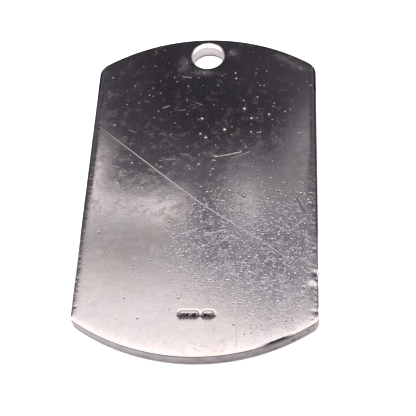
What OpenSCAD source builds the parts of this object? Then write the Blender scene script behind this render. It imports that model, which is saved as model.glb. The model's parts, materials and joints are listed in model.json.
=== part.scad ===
/* [Plate] */
// Width across the two straight sides
plate_w = 28; // [24:0.5:34]
// Length from tip to tip
plate_l = 46; // [40:0.5:56]
// Thickness
plate_t = 2.4; // [1.8:0.1:3.2]
// How far the end with the hole bows out beyond its corners
top_rise = 4.8; // [3.4:0.1:6]
// How far the end with the punch marks bows out beyond its corners
low_rise = 4.6; // [3.4:0.1:6]
// Corner radius at the end with the hole
top_corner_r = 2.1; // [1.2:0.1:3]
// Corner radius at the end with the punch marks
low_corner_r = 0.6; // [0.6:0.1:1.6]
// Rounding of the front edge
front_edge_r = 0.25; // [0.15:0.05:0.4]
// Rounding of the back edge
back_edge_r = 0.4; // [0.2:0.05:0.5]

/* [Ring hole] */
// Diameter of the hole for a jump ring
hole_d = 4.2; // [3:0.1:4.6]
// Distance of the hole's centre from the tip
hole_inset = 2.9; // [2.85:0.05:6]
// Rounding of the hole's worn rims
hole_rim_r = 0.1; // [0.1:0.05:0.3]

/* [Punch marks] */
// Width of the long mark
long_mark_w = 2.45; // [1.6:0.05:3.4]
// Height of the long mark
long_mark_h = 1.15; // [0.8:0.05:1.6]
// Corner cut of the long mark
long_mark_cut = 0.3; // [0.1:0.05:0.35]
// Width of the oval mark
oval_mark_w = 1.8; // [1.4:0.05:2.6]
// Height of the oval mark
oval_mark_h = 1.2; // [0.8:0.05:1.3]
// Depth of both marks
mark_depth = 0.3; // [0.1:0.05:0.5]
// Height of the marks' middle above the lower tip
mark_rise = 5.05; // [4:0.05:8]
// Metal left between the two marks
mark_gap = 0.15; // [0.1:0.05:0.6]
// How far the pair sits to the right of the plate's middle
mark_shift = 0.42; // [-3:0.02:3]

/* [Knocks] */
// Radius of the knocks in the front edge
knock_r = 0.7; // [0.5:0.05:1]
// Bite of the deepest knock into the side
knock_bite = 0.26; // [0.1:0.02:0.4]

/* [Hidden] */
$fn = 96;
// Spare length of every cutter past the solid that it cuts
over = 1;
// How far a corner's disc stands out past the side and the end's arc, as a share of its radius:
// they then cross at a small but definite angle instead of grazing each other
corner_lap = 0.006;
// Columns: side (-1 left, 1 right), place along the plate from its middle as a share of its
// length, radius as a share of knock_r, bite as a share of knock_bite
KNOCKS = [
    [1, -0.271, 1.00, 0.80],
    [1, -0.301, 1.00, 0.45],
    [1, -0.374, 0.90, 0.65],
    [1, -0.403, 1.00, 1.00],
    [-1, -0.366, 0.50, 0.55],
    [-1, -0.381, 0.50, 0.40]
];
half_w = plate_w / 2;
half_l = plate_l / 2;
hole_r = hole_d / 2;
hole_y = half_l - hole_inset;
mark_y = mark_rise - half_l;
marks_w = long_mark_w + mark_gap + oval_mark_w;
long_mark_x = mark_shift - marks_w / 2 + long_mark_w / 2;
oval_mark_x = mark_shift + marks_w / 2 - oval_mark_w / 2;

// Radius of an end's arc, from its rise over the plate's width
function arc_r(rise) = (half_w * half_w + rise * rise) / (2 * rise);

// Distance of an end's arc centre from the plate's middle, towards that end
function arc_y(rise) = half_l - arc_r(rise);

// Distance of a corner's centre from the side and from the end's arc
function corner_in(r) = r * (1 - corner_lap);

// Distance of a corner's centre from the plate's middle, towards that end
function corner_y(rise, r) =
    arc_y(rise) + sqrt(pow(arc_r(rise) - corner_in(r), 2) - pow(half_w - corner_in(r), 2));

// Direction from a corner's centre to where its disc comes nearest the end's arc
function corner_angle(rise, r) =
    atan2(corner_y(rise, r) - arc_y(rise), half_w - corner_in(r));

// Half of the plate's cross-section out to a given reach, with both edges rounded
module half_section(reach) {
    difference() {
        square([reach, plate_t]);
        edge_waste(reach - front_edge_r, plate_t - front_edge_r, front_edge_r, 1);
        edge_waste(reach - back_edge_r, back_edge_r, back_edge_r, -1);
    }
}

// What a rounded edge leaves out: a square corner less its quarter circle
module edge_waste(x, z, r, up) {
    difference() {
        translate([x, up > 0 ? z : z - r - over]) square([r + over, r + over]);
        translate([x, z]) circle(r);
    }
}

// A disc with the plate's thickness and rounded edges
module rounded_disc(r) {
    rotate_extrude($fn = 360) half_section(r);
}

// A bar with the plate's full cross-section, along the plate
module side_bar() {
    rotate([90, 0, 0])
        linear_extrude(plate_l + 2 * over, center = true) {
            half_section(half_w);
            mirror([1, 0]) half_section(half_w);
        }
}

// What one bowed end takes off the bar, for the end at +Y
module end_waste(rise) {
    difference() {
        translate([-half_w - over, half_l / 2, -over])
            cube([plate_w + 2 * over, half_l / 2 + 2 * over, plate_t + 2 * over]);
        translate([0, arc_y(rise), 0]) rounded_disc(arc_r(rise));
    }
}

// What one rounded corner takes off, for the right side of the end at +Y
module corner_waste(rise, r) {
    angle = corner_angle(rise, r);
    reach = 4 * r;
    translate([half_w - corner_in(r), corner_y(rise, r), 0])
        difference() {
            translate([0, 0, -over])
                linear_extrude(plate_t + 2 * over)
                    polygon([
                        [0, 0],
                        [reach, 0],
                        [reach, reach * tan(angle / 2)],
                        [reach * cos(angle), reach * sin(angle)]
                    ]);
            rounded_disc(r);
        }
}

// All that shapes one end: its bow and both of its corners
module end_shape(rise, r) {
    end_waste(rise);
    corner_waste(rise, r);
    mirror([1, 0, 0]) corner_waste(rise, r);
}

// The bare plate: straight sides, two bowed ends and four rounded corners
module plate_blank() {
    difference() {
        side_bar();
        end_shape(top_rise, top_corner_r);
        rotate([0, 0, 180]) end_shape(low_rise, low_corner_r);
    }
}

// The straight hole with a rounded rim on both faces
module ring_hole() {
    translate([0, hole_y, 0])
        rotate_extrude()
            difference() {
                translate([0, -over]) square([hole_r + hole_rim_r, plate_t + 2 * over]);
                translate([hole_r + hole_rim_r, hole_rim_r]) circle(hole_rim_r);
                translate([hole_r + hole_rim_r, plate_t - hole_rim_r]) circle(hole_rim_r);
                translate([hole_r, hole_rim_r])
                    square([hole_rim_r + over, plate_t - 2 * hole_rim_r]);
            }
}

// The long mark: a blank sunk bar with its corners cut
module long_mark() {
    x = long_mark_w / 2;
    y = long_mark_h / 2;
    c = long_mark_cut;
    translate([long_mark_x, mark_y, plate_t - mark_depth])
        linear_extrude(mark_depth + over)
            polygon([
                [c - x, -y], [x - c, -y], [x, c - y], [x, y - c],
                [x - c, y], [c - x, y], [-x, y - c], [-x, c - y]
            ]);
}

// The oval mark: a blank sunk bar with round ends
module oval_mark() {
    r = oval_mark_h / 2;
    straight = oval_mark_w - oval_mark_h;
    translate([oval_mark_x, mark_y, plate_t - mark_depth]) {
        translate([-straight / 2, -r, 0]) cube([straight, oval_mark_h, mark_depth + over]);
        for (side = [-1, 1])
            translate([side * straight / 2, 0, 0]) cylinder(r = r, h = mark_depth + over);
    }
}

// Small round bites that wear has left in the front edge
module knocks() {
    for (k = KNOCKS) {
        r = k[2] * knock_r;
        translate([k[0] * (half_w + r - k[3] * knock_bite), k[1] * plate_l, plate_t]) sphere(r);
    }
}

module tag_plate() {
    color("silver")
        difference() {
            plate_blank();
            ring_hole();
            long_mark();
            oval_mark();
            knocks();
        }
}

tag_plate();
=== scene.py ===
"""Dresses the identification tag: a worn silver plate with a ring hole and two blank punch marks.

Lengths in the classes are millimetres on the plate: X runs to the right, Y towards the ring hole and Z out
of the front face. Meshes are turned into metres as they are made.
"""

import json
import logging
import math
from dataclasses import dataclass
from enum import Enum

import bpy
import numpy as np
from mathutils import Matrix, Vector
from mathutils.geometry import delaunay_2d_cdt


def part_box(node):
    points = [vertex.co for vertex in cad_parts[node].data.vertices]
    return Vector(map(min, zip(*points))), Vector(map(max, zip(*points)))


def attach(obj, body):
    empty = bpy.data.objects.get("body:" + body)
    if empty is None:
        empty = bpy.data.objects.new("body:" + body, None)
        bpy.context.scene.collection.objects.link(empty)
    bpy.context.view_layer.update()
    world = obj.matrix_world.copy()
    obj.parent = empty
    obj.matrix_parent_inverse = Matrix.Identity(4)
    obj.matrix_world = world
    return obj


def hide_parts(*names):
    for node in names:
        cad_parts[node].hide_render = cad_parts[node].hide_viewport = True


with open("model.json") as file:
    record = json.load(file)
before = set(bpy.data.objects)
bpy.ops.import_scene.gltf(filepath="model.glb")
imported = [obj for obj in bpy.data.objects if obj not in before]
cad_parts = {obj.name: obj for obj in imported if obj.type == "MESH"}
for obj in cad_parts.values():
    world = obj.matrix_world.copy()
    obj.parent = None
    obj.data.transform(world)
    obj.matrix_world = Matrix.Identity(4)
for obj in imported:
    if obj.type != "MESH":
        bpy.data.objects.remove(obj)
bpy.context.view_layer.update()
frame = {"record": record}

LOG = logging.getLogger("tag")
MM = 0.001
NODE = "tag_plate"
# Distance between the rows of a grid of equal triangles, as a share of their side
ROW = math.sqrt(0.75)

Pair = tuple[float, float]
Triple = tuple[float, float, float]
Colour = tuple[float, float, float, float]
Stops = tuple[Pair, ...]
Array = np.ndarray
Socket = bpy.types.NodeSocket
Material = bpy.types.Material
Mesh = bpy.types.Mesh
Piece = bpy.types.Object


class Zone(Enum):
    """The parts of the plate's surface that have a finish of their own, by material slot."""

    FACE = 0
    WALL = 1
    BORE = 2
    MARK = 3
    BACK = 4


class Map(Enum):
    """Values stored on the points of the skin or of the pits' sheet, and the zones of the faces."""

    HAZE = "haze"
    GRIT = "grit"
    GROOVE = "groove"
    # Oxide and dirt, and also painted shade in the pits, the marks' shadow lines and along the rounded rim.
    OXIDE_AND_SHADE = "oxide"
    RIM = "rim"
    NICKS = "nicks"
    SIZE = "size"
    ZONE = "zone"


def smooth(edge0: float, edge1: float, x: Array) -> Array:
    """Returns a smooth step of x from 0 at edge0 to 1 at edge1."""
    t = np.clip((x - edge0) / (edge1 - edge0), 0.0, 1.0)
    return t * t * (3.0 - 2.0 * t)


def blob(xy: Array, x: float, y: float, across: float, along: float) -> Array:
    """Returns a soft round hill of height 1 at x and y, with its two half widths."""
    return np.exp(-((xy[:, 0] - x) / across) ** 2 - ((xy[:, 1] - y) / along) ** 2)


class NodeTree:
    """Short helpers that add nodes to a tree and join them."""

    def __init__(self, tree: bpy.types.NodeTree) -> None:
        """Keeps the tree that nodes are added to."""
        self.tree = tree

    def feed(self, socket: Socket, value: object) -> None:
        """Links a socket to another, or sets its value."""
        if isinstance(value, Socket):
            self.tree.links.new(value, socket)
        else:
            socket.default_value = value

    def add(self, kind: str, inputs: dict | None = None, **settings: object) -> bpy.types.Node:
        """Adds a node.

        Args:
            kind: The node's type name.
            inputs: Values or sockets for its inputs, by name or number.
            settings: Attributes to set on it.

        Returns:
            The new node.
        """
        node = self.tree.nodes.new(kind)
        for name, value in settings.items():
            setattr(node, name, value)
        for key, value in (inputs or {}).items():
            self.feed(node.inputs[key], value)
        return node

    def math(self, operation: str, *values: object) -> Socket:
        """Returns the result of a math node on up to three values."""
        return self.add("ShaderNodeMath", dict(enumerate(values)), operation=operation).outputs[0]

    def ramp(self, value: object, low: object, high: object, start: float = 0.0, end: float = 1.0) -> Socket:
        """Returns a smooth step from start to end as value goes from low to high."""
        places = dict(enumerate((value, low, high, start, end)))
        return self.add("ShaderNodeMapRange", places, interpolation_type="SMOOTHSTEP").outputs[0]

    def curve(self, value: object, stops: Stops) -> Socket:
        """Returns a grey level that follows a line through stops.

        Args:
            value: What the line is read at.
            stops: Place and level pairs, in rising order.

        Returns:
            The level's socket.
        """
        low, high = stops[0][0], stops[-1][0]
        place = self.add("ShaderNodeMapRange", {0: value, 1: low, 2: high}).outputs[0]
        node = self.add("ShaderNodeValToRGB", {0: place})
        bar = node.color_ramp.elements
        for x, _ in stops[1:-1]:
            bar.new((x - low) / (high - low))
        for element, (_, level) in zip(bar, stops):
            element.color = (level, level, level, 1.0)
        return node.outputs[0]

    def vector(self, operation: str, *values: object) -> Socket:
        """Returns the result of a vector math node, which is a number for a length or a distance."""
        node = self.add("ShaderNodeVectorMath", dict(enumerate(values)), operation=operation)
        return node.outputs["Value" if operation in ("LENGTH", "DISTANCE") else "Vector"]

    def scaled(self, vector: Socket, factor: object) -> Socket:
        """Returns a vector times a number."""
        return self.add("ShaderNodeVectorMath", {0: vector, "Scale": factor}, operation="SCALE").outputs[0]

    def join(self, x: object = 0.0, y: object = 0.0, z: object = 0.0) -> Socket:
        """Returns the vector of three numbers."""
        return self.add("ShaderNodeCombineXYZ", {0: x, 1: y, 2: z}).outputs[0]

    def split(self, vector: Socket) -> list[Socket]:
        """Returns a vector's three numbers."""
        return list(self.add("ShaderNodeSeparateXYZ", {0: vector}).outputs)

    def mix(self, share: object, first: object, second: object) -> Socket:
        """Returns the blend of two colours."""
        return self.add("ShaderNodeMix", {0: share, 6: first, 7: second}, data_type="RGBA").outputs[2]

    def between(self, share: object, first: object, second: object) -> Socket:
        """Returns the number that lies a share of the way from first to second."""
        return self.math("MULTIPLY_ADD", share, self.math("SUBTRACT", second, first), first)

    def sized(self, chance: Socket, power: float, least: object, greatest: object) -> Socket:
        """Returns a size between least and greatest, the more often small the higher the power is."""
        span = self.math("SUBTRACT", greatest, least)
        return self.math("MULTIPLY_ADD", self.math("POWER", chance, power), span, least)

    def group(self, tree: bpy.types.NodeTree, inputs: dict, output: str) -> Socket:
        """Places a shared group and returns one of its outputs."""
        return self.add("ShaderNodeGroup", inputs, node_tree=tree).outputs[output]

    def stored(self, name: Map, kind: str = "FLOAT") -> Socket:
        """Returns a value that is stored on the geometry."""
        return self.add("GeometryNodeInputNamedAttribute", {"Name": name.value}, data_type=kind).outputs[0]

    def chance(self, seed: object, high: float = 1.0) -> Socket:
        """Returns a random number from 0 to high for each point."""
        limits = {2: 0.0, 3: high, "Seed": seed}
        return self.add("FunctionNodeRandomValue", limits, data_type="FLOAT").outputs[1]

    def close(self, geometry: Socket, finish: Socket, chosen: object = True) -> "NodeTree":
        """Ends a geometry tree.

        Args:
            geometry: The result, which may hold copies.
            finish: The material that is set.
            chosen: Which faces take it.

        Returns:
            The tree's helper.
        """
        real = self.add("GeometryNodeRealizeInstances", {0: geometry}).outputs[0]
        done = self.add("GeometryNodeSetMaterial", {
            "Geometry": real, "Selection": chosen, "Material": finish})
        self.add("NodeGroupOutput", {0: done.outputs[0]})
        return self


@dataclass(frozen=True)
class Outline:
    """The plate's outline: two straight sides, two bowed ends and four rounded corners."""

    half_w: float
    half_l: float
    top_rise: float = 4.8
    low_rise: float = 4.6
    top_corner: float = 2.1
    low_corners: Pair = (0.6, 1.3)

    def _end(self, rise: float, corner: float) -> tuple[float, float, float, float]:
        """Works out one end's arc.

        Args:
            rise: How far the end bows out beyond the corners.
            corner: The corner radius.

        Returns:
            The arc's radius and centre height, and the corner's centre height and meeting angle.
        """
        radius = (self.half_w ** 2 + rise ** 2) / (2.0 * rise)
        centre = self.half_l - radius
        corner_y = centre + math.sqrt((radius - corner) ** 2 - (self.half_w - corner) ** 2)
        return radius, centre, corner_y, math.atan2(corner_y - centre, self.half_w - corner)

    def _corner(self, rise: float, corner: float, inset: float, step: float) -> Array:
        """Points round the right corner of the end at +Y, from the side to the bow."""
        _, _, corner_y, angle = self._end(rise, corner)
        turn = np.linspace(0.0, angle, max(6, round(corner * angle / (0.6 * step))))
        x0, r = self.half_w - corner, corner - inset
        return np.stack([x0 + r * np.cos(turn), corner_y + r * np.sin(turn)], 1)

    def _half(self, rise: float, corners: Pair, inset: float, step: float) -> Array:
        """Points round the end at +Y, from the right side to the left, at a given inset."""
        radius, centre, _, first = self._end(rise, corners[0])
        last = self._end(rise, corners[1])[3]
        n_arc = round(radius * (math.pi - first - last) / step)
        bow = np.linspace(first, math.pi - last, n_arc, endpoint=False)[1:]
        right = self._corner(rise, corners[0], inset, step)
        top = np.stack([(radius - inset) * np.cos(bow), centre + (radius - inset) * np.sin(bow)], 1)
        left = self._corner(rise, corners[1], inset, step)[::-1] * (-1.0, 1.0)
        return np.vstack([right, top, left])

    def ring(self, inset: float, step: float) -> Array:
        """Walks round the outline, counter-clockwise.

        Args:
            inset: Distance inside the outline. It stays below the smallest corner radius.
            step: Rough distance between points. The number of points doesn't depend on the inset.

        Returns:
            The points, one row of x and y each.
        """
        upper = self._half(self.top_rise, (self.top_corner, self.top_corner), inset, step)
        lower = -self._half(self.low_rise, self.low_corners, inset, step)
        n_side = round((upper[-1, 1] - lower[0, 1]) / step)
        share = np.linspace(0.0, 1.0, n_side, endpoint=False)[1:, None]
        left = upper[-1] + share * (lower[0] - upper[-1])
        right = lower[-1] + share * (upper[0] - lower[-1])
        return np.vstack([upper, left, lower, right])

    def depth_inside(self, xy: Array) -> Array:
        """Returns how far each point lies inside the outline, corners taken as sharp."""
        top_r, top_c, _, _ = self._end(self.top_rise, self.top_corner)
        low_r, low_c, _, _ = self._end(self.low_rise, self.low_corners[0])
        side = self.half_w - np.abs(xy[:, 0])
        top = top_r - np.hypot(xy[:, 0], xy[:, 1] - top_c)
        low = low_r - np.hypot(xy[:, 0], xy[:, 1] + low_c)
        return np.minimum(side, np.where(xy[:, 1] > 0.0, top, low))


@dataclass(frozen=True)
class RingHole:
    """The round hole for a jump ring, with a worn, rounded rim on both faces."""

    y: float
    radius: float
    rim: float = 0.1
    sides: int = 120

    def ring(self, radius: float) -> Array:
        """Returns a circle of points round the hole's axis."""
        a = np.linspace(0.0, 2.0 * math.pi, self.sides, endpoint=False)
        return np.stack([radius * np.cos(a), self.y + radius * np.sin(a)], 1)

    def distance(self, xy: Array) -> Array:
        """Returns the distance of each point from the hole's axis."""
        return np.hypot(xy[:, 0], xy[:, 1] - self.y)


@dataclass(frozen=True)
class PunchMark:
    """A blank sunk mark. A corner cut makes it a bar, and none makes its ends round.

    Its far side goes down in steps: a sag, a sharp step, a shelf and the floor, each over its own range of
    distance outside the outline. Its near side sinks slowly. The oxide is drawn in at the ends by spread
    and moved by shift. Just inside the far side's step runs a painted shadow, a thin dark line.
    """

    x: float
    y: float
    width: float
    height: float
    cut: float = 0.0
    spread: float = 0.0
    shift: float = 0.0
    sag: float = 0.009
    step: float = 0.02
    shelf: float = 0.05
    floor: float = 0.10
    lump: float = 0.012
    reach: float = 0.35
    grid: float = 0.045
    sag_over: Pair = (0.22, 0.02)
    step_over: Pair = (0.02, -0.03)
    shelf_wide: float = 0.3
    floor_over: Pair = (-0.32, -0.42)
    near_over: Pair = (0.0, -0.6)
    near_share: float = 0.3
    dark_to: float = 0.50
    ragged: Pair = (0.09, 0.6)
    # Place, width and darkness of the painted shadow line under the far side's step.
    line_at: Pair = (0.06, 0.085)
    shadow_line_dark: float = 0.59

    def outside(self, xy: Array) -> Array:
        """Returns each point's distance outside the mark's outline, negative inside it."""
        px = np.abs(xy[:, 0] - self.x)
        py = np.abs(xy[:, 1] - self.y)
        if self.cut:
            dx = px - self.width / 2.0
            dy = py - self.height / 2.0
            corner = (px + py - (self.width + self.height) / 2.0 + self.cut) / math.sqrt(2.0)
            return np.maximum(np.maximum(dx, dy), corner)
        straight = (self.width - self.height) / 2.0
        return np.hypot(np.maximum(px - straight, 0.0), py) - self.height / 2.0

    def _up(self, xy: Array) -> Array:
        """Returns how far each point lies up the mark, -1 at its near side and 1 at its far side."""
        return (xy[:, 1] - self.y) / (self.height / 2.0)

    def _lumps(self, xy: Array) -> Array:
        """Returns the unevenness of the floor, two bent waves that cross, between -1 and 1."""
        u = xy[:, 0] - self.x
        v = xy[:, 1] - self.y
        return np.sin(30.0 * u + 2.0 * np.sin(11.0 * v)) * np.sin(27.0 * v + 1.5 * np.sin(14.0 * u))

    def lift(self, xy: Array) -> Array:
        """Works out the mark's height: a far side in steps, a lumpy floor and a slow near side.

        Args:
            xy: Points on the face.

        Returns:
            The height at each point, 0 where the mark has no effect.
        """
        d = self.outside(xy)
        inside = smooth(*self.floor_over, d)
        far = -self.sag * smooth(*self.sag_over, d) - self.step * smooth(*self.step_over, d)
        far -= self.shelf * np.clip((self.step_over[1] - d) / self.shelf_wide, 0.0, 1.0)
        far -= (self.floor - self.sag - self.step - self.shelf) * inside
        near = -self.near_share * self.floor * smooth(*self.near_over, d)
        share = smooth(-0.6, 0.1, self._up(xy))
        rough = smooth(-0.1, -0.3, d) * (1.0 - share) + inside * share
        rough *= smooth(0.0, 0.15, self.width / 2.0 + self.spread - np.abs(xy[:, 0] - self.x))
        return near + share * (far - near) + self.lump * rough * self._lumps(xy)

    def oxide(self, xy: Array) -> Array:
        """Returns the floor's oxide, ragged above and fading below, and a painted shadow line at the far
        side.
        """
        up = self._up(xy)
        d = self.outside(xy)
        lumps = self._lumps(xy)
        off = np.abs(xy[:, 0] - self.x - self.shift)
        taper = 0.15 * np.clip(-up, 0.0, 1.2) ** 2
        side = self.width / 2.0 + self.spread - off - taper
        within = np.minimum(side, (self.dark_to - up) * self.height / 2.0)
        ragged, faded = self.ragged
        floor = smooth(-0.03, 0.05, within + ragged * lumps) * smooth(-1.25, -0.25, up + faded * lumps)
        # Painted shadow: a thin dark line just inside the far side's step.
        at, wide = self.line_at
        line = self.shadow_line_dark * np.exp(-((d + at) / wide) ** 2)
        line *= smooth(0.4, 0.7, up) * (0.85 + 0.15 * lumps)
        return np.maximum(floor, line)

    def points(self) -> Array:
        """Returns a fine grid of points over the mark and its lip."""
        xs, ys = (np.arange(middle - size / 2 - self.reach, middle + size / 2 + self.reach, self.grid)
                  for middle, size in ((self.x, self.width), (self.y, self.height)))
        gx, gy = np.meshgrid(xs, ys)
        xy = np.stack([gx.ravel(), gy.ravel()], 1)
        return xy[self.outside(xy) < self.reach]


@dataclass(frozen=True)
class SoftDent:
    """A shallow hollow or swell that bends the reflection and has no edge of its own."""

    x: float
    y: float
    across: float
    along: float
    rise: float
    tail: float = 1.0

    def lift(self, xy: Array) -> Array:
        """Returns the dent's height at each point. The tail draws it out towards the marked end."""
        along = np.where(xy[:, 1] < self.y, self.along * self.tail, self.along)
        return self.rise * blob(xy, self.x, self.y, self.across, along)


@dataclass(frozen=True)
class Knock:
    """A round bite that wear has left in the front edge."""

    x: float
    y: float
    z: float
    radius: float

    def push(self, points: Array) -> Array:
        """Returns the points, with those inside the bite's ball moved out to its surface."""
        way = points - np.array([self.x, self.y, self.z])
        length = np.maximum(np.linalg.norm(way, axis=1, keepdims=True), 1e-9)
        return np.where(length < self.radius, points + way * (self.radius / length - 1.0), points)


@dataclass(frozen=True)
class Scratch:
    """A groove along a line of points, each with its share of the depth, between two slight burrs."""

    line: tuple[Triple, ...]
    half_w: float = 0.06
    depth: float = 0.010
    burr: float = 0.002
    dirty: float = 0.0
    step: float = 0.12
    rows: tuple[float, ...] = (-1.8, -1.0, -0.45, 0.0, 0.45, 1.0, 1.8)
    burr_at: Pair = (1.3, 0.35)
    margin: float = 2.1

    def _samples(self) -> tuple[Array, Array]:
        """Returns evenly spaced points along the line, and the unit vector across it at each."""
        corners = np.array(self.line)[:, :2]
        length = np.hypot(*np.diff(corners, axis=0).T)
        place = np.concatenate([[0.0], np.cumsum(length)])
        at = np.linspace(0.0, place[-1], max(3, round(place[-1] / self.step)))
        xy = np.stack([np.interp(at, place, corners[:, k]) for k in (0, 1)], 1)
        way = np.gradient(xy, axis=0)
        way /= np.hypot(way[:, 0], way[:, 1])[:, None]
        return xy, np.stack([-way[:, 1], way[:, 0]], 1)

    def points(self) -> Array:
        """Returns rows of points along the groove's floor, edges and burrs."""
        xy, across = self._samples()
        return np.vstack([xy + k * self.half_w * across for k in self.rows])

    def nearest(self, xy: Array) -> tuple[Array, Array]:
        """Returns each point's distance from the line, and the share of the depth beside it."""
        best = np.full(len(xy), np.inf)
        share = np.zeros(len(xy))
        for (x0, y0, s0), (x1, y1, s1) in zip(self.line, self.line[1:]):
            leg = np.array([x1 - x0, y1 - y0])
            t = np.clip((xy - (x0, y0)) @ leg / (leg @ leg), 0.0, 1.0)
            d = np.hypot(*(xy - (x0, y0) - t[:, None] * leg).T)
            closer = d < best
            best = np.where(closer, d, best)
            share = np.where(closer, s0 + t * (s1 - s0), share)
        return best, share

    def clear(self, xy: Array) -> Array:
        """Returns which points lie clear of the groove and its burrs."""
        return self.nearest(xy)[0] > self.margin * self.half_w

    def lift(self, xy: Array) -> Array:
        """Returns the groove's height at each point."""
        d, share = self.nearest(xy)
        groove = -self.depth * np.clip(1.0 - d / self.half_w, 0.0, 1.0)
        at, wide = self.burr_at
        burr = self.burr * np.exp(-((d / self.half_w - at) / wide) ** 2)
        return share * (groove + burr)


class Skin:
    """Collects the points and faces of a closed skin, patch by patch."""

    def __init__(self) -> None:
        """Starts an empty skin."""
        self.points: list[Array] = []
        self.stains: list[Array] = []
        self.count = 0
        self.faces: list[tuple[int, ...]] = []
        self.zones: list[int] = []

    def put(self, points: Array) -> Array:
        """Adds points and returns their numbers. A row is x, y, z and maybe a stain, with painted shade."""
        self.points.append(points[:, :3])
        self.stains.append(points[:, 3] if points.shape[1] > 3 else np.zeros(len(points)))
        self.count += len(points)
        return np.arange(self.count - len(points), self.count)

    def patch(self, faces: Array, zone: Zone) -> None:
        """Adds faces, rows of point numbers that run counter-clockwise seen from outside."""
        self.faces.extend(map(tuple, faces.tolist()))
        self.zones.extend([zone.value] * len(faces))

    def band(self, first: Array, second: Array, zone: Zone) -> None:
        """Joins two closed rings of equal length with four-sided faces."""
        self.patch(np.stack([first, second, np.roll(second, -1), np.roll(first, -1)], 1), zone)

    def finish(self) -> tuple[Array, Array, list[list[int]], Array]:
        """Drops the points that no face uses.

        Returns:
            The points, their stains with painted shade, the faces as lists of point numbers, and the faces'
            zones.
        """
        points = np.vstack(self.points)
        used = np.unique(np.concatenate([np.asarray(f) for f in self.faces]))
        back = np.full(len(points), -1)
        back[used] = np.arange(len(used))
        faces = [[int(back[v]) for v in f] for f in self.faces]
        return points[used], np.concatenate(self.stains)[used], faces, np.array(self.zones)


def new_tree(name: str, kind: str, sockets: dict[str, str], outputs: dict[str, str]) -> NodeTree:
    """Starts a node group with named sockets.

    Args:
        name: The group's name.
        kind: The tree's type, for geometry or for shaders.
        sockets: Input names and the short names of their types.
        outputs: The same for its outputs.

    Returns:
        The helper that holds the new group.
    """
    tree = bpy.data.node_groups.new(name, kind)
    for label, socket in sockets.items():
        tree.interface.new_socket(label, in_out="INPUT", socket_type="NodeSocket" + socket)
    for label, socket in outputs.items():
        tree.interface.new_socket(label, in_out="OUTPUT", socket_type="NodeSocket" + socket)
    return NodeTree(tree)


def run_tree(obj: Piece, group: NodeTree, values: dict[str, object]) -> Mesh:
    """Puts an object through a geometry tree.

    Args:
        obj: The object whose mesh goes in.
        group: The tree.
        values: What its named inputs are set to.

    Returns:
        The result as a plain mesh. The object is left without the modifier.
    """
    modifier = obj.modifiers.new(group.tree.name, "NODES")
    modifier.node_group = group.tree
    for item in group.tree.interface.items_tree:
        if item.in_out == "INPUT" and item.name in values:
            modifier[item.identifier] = values[item.name]
    depsgraph = bpy.context.evaluated_depsgraph_get()
    mesh = bpy.data.meshes.new_from_object(obj.evaluated_get(depsgraph), depsgraph=depsgraph)
    obj.modifiers.remove(modifier)
    return mesh


def linked(name: str, mesh: Mesh) -> Piece:
    """Returns a new object of a mesh, linked to the scene."""
    obj = bpy.data.objects.new(name, mesh)
    bpy.context.scene.collection.objects.link(obj)
    return obj


def paint(mesh: Mesh, name: Map, values: Array) -> None:
    """Stores one number for each of a mesh's points."""
    mesh.attributes.new(name.value, "FLOAT", "POINT").data.foreach_set("value", values.astype(np.float32))


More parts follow.
